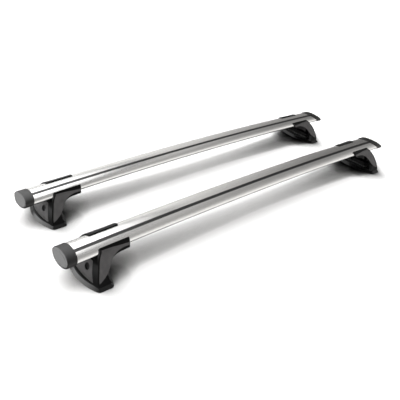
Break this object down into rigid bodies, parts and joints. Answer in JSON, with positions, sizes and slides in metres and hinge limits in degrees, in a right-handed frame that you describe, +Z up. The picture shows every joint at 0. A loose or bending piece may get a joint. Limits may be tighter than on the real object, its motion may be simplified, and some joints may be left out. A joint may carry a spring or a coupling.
{
  "type": "pair of roof crossbars",
  "caption": "Pair of arched aluminium roof crossbars of aerofoil section, with slanted end caps and lockable clamp feet on rubber pads.",
  "frame": {"origin": "middle of the pair's footprint, on the surface that the rubber pads stand on", "axes": "+X along the bars to their right ends, +Y from the front bar to the rear bar (the rubber strips lie toward -Y), +Z up"},
  "size_m": [1.1782, 0.446, 0.0904],
  "materials": {
    "bar_aluminium": "satin anodised",
    "strip_rubber": "matt, fine ribs",
    "body_plastic": "satin",
    "cover_plastic": "fine grain",
    "cap_plastic": "satin",
    "lock_plastic": "gloss",
    "lock_metal": "dull",
    "pad_rubber": "satin",
    "plate_steel": "black coated",
    "fastener_steel": "zinc plated"
  },
  "bodies": {
    "root": {"front_bar": "bar_aluminium", "front_bar_strip": "strip_rubber", "front_left_foot_body": "body_plastic", "front_left_front_fin_cover": "cover_plastic", "front_left_rear_fin_cover": "cover_plastic", "front_left_outer_cover": "cover_plastic", "front_left_lock_housing": "lock_plastic", "front_left_base_pad": "pad_rubber", "front_left_mounting_plate": "plate_steel", "front_left_clamp_bolt": "fastener_steel", "front_left_clamp_washer": "fastener_steel", "front_left_channel_nut": "fastener_steel", "front_left_end_cap": "cap_plastic", "front_right_foot_body": "body_plastic", "front_right_front_fin_cover": "cover_plastic", "front_right_rear_fin_cover": "cover_plastic", "front_right_outer_cover": "cover_plastic", "front_right_lock_housing": "lock_plastic", "front_right_base_pad": "pad_rubber", "front_right_mounting_plate": "plate_steel", "front_right_clamp_bolt": "fastener_steel", "front_right_clamp_washer": "fastener_steel", "front_right_channel_nut": "fastener_steel", "front_right_end_cap": "cap_plastic", "rear_bar": "bar_aluminium", "rear_bar_strip": "strip_rubber", "rear_left_foot_body": "body_plastic", "rear_left_front_fin_cover": "cover_plastic", "rear_left_rear_fin_cover": "cover_plastic", "rear_left_outer_cover": "cover_plastic", "rear_left_lock_housing": "lock_plastic", "rear_left_base_pad": "pad_rubber", "rear_left_mounting_plate": "plate_steel", "rear_left_clamp_bolt": "fastener_steel", "rear_left_clamp_washer": "fastener_steel", "rear_left_channel_nut": "fastener_steel", "rear_left_end_cap": "cap_plastic", "rear_right_foot_body": "body_plastic", "rear_right_front_fin_cover": "cover_plastic", "rear_right_rear_fin_cover": "cover_plastic", "rear_right_outer_cover": "cover_plastic", "rear_right_lock_housing": "lock_plastic", "rear_right_base_pad": "pad_rubber", "rear_right_mounting_plate": "plate_steel", "rear_right_clamp_bolt": "fastener_steel", "rear_right_clamp_washer": "fastener_steel", "rear_right_channel_nut": "fastener_steel", "rear_right_end_cap": "cap_plastic"},
    "front_left_lock_core": {"front_left_lock_core": "lock_metal"},
    "front_right_lock_core": {"front_right_lock_core": "lock_metal"},
    "rear_left_lock_core": {"rear_left_lock_core": "lock_metal"},
    "rear_right_lock_core": {"rear_right_lock_core": "lock_metal"}
  },
  "joints": [
    {"name": "front_left_lock_turn", "type": "hinge", "parent": "root", "child": "front_left_lock_core", "pos_m": [-0.53205, -0.1655, 0.0385], "axis": [0.9397, 0.1045, -0.3256], "range_deg": [0, 90]},
    {"name": "front_right_lock_turn", "type": "hinge", "parent": "root", "child": "front_right_lock_core", "pos_m": [0.52455, -0.1655, 0.0385], "axis": [0.9397, -0.1045, 0.3256], "range_deg": [0, 90]},
    {"name": "rear_left_lock_turn", "type": "hinge", "parent": "root", "child": "rear_left_lock_core", "pos_m": [-0.52455, 0.1125, 0.0385], "axis": [0.9397, 0.1045, -0.3256], "range_deg": [0, 90]},
    {"name": "rear_right_lock_turn", "type": "hinge", "parent": "root", "child": "rear_right_lock_core", "pos_m": [0.53205, 0.1125, 0.0385], "axis": [0.9397, -0.1045, 0.3256], "range_deg": [0, 90]}
  ]
}
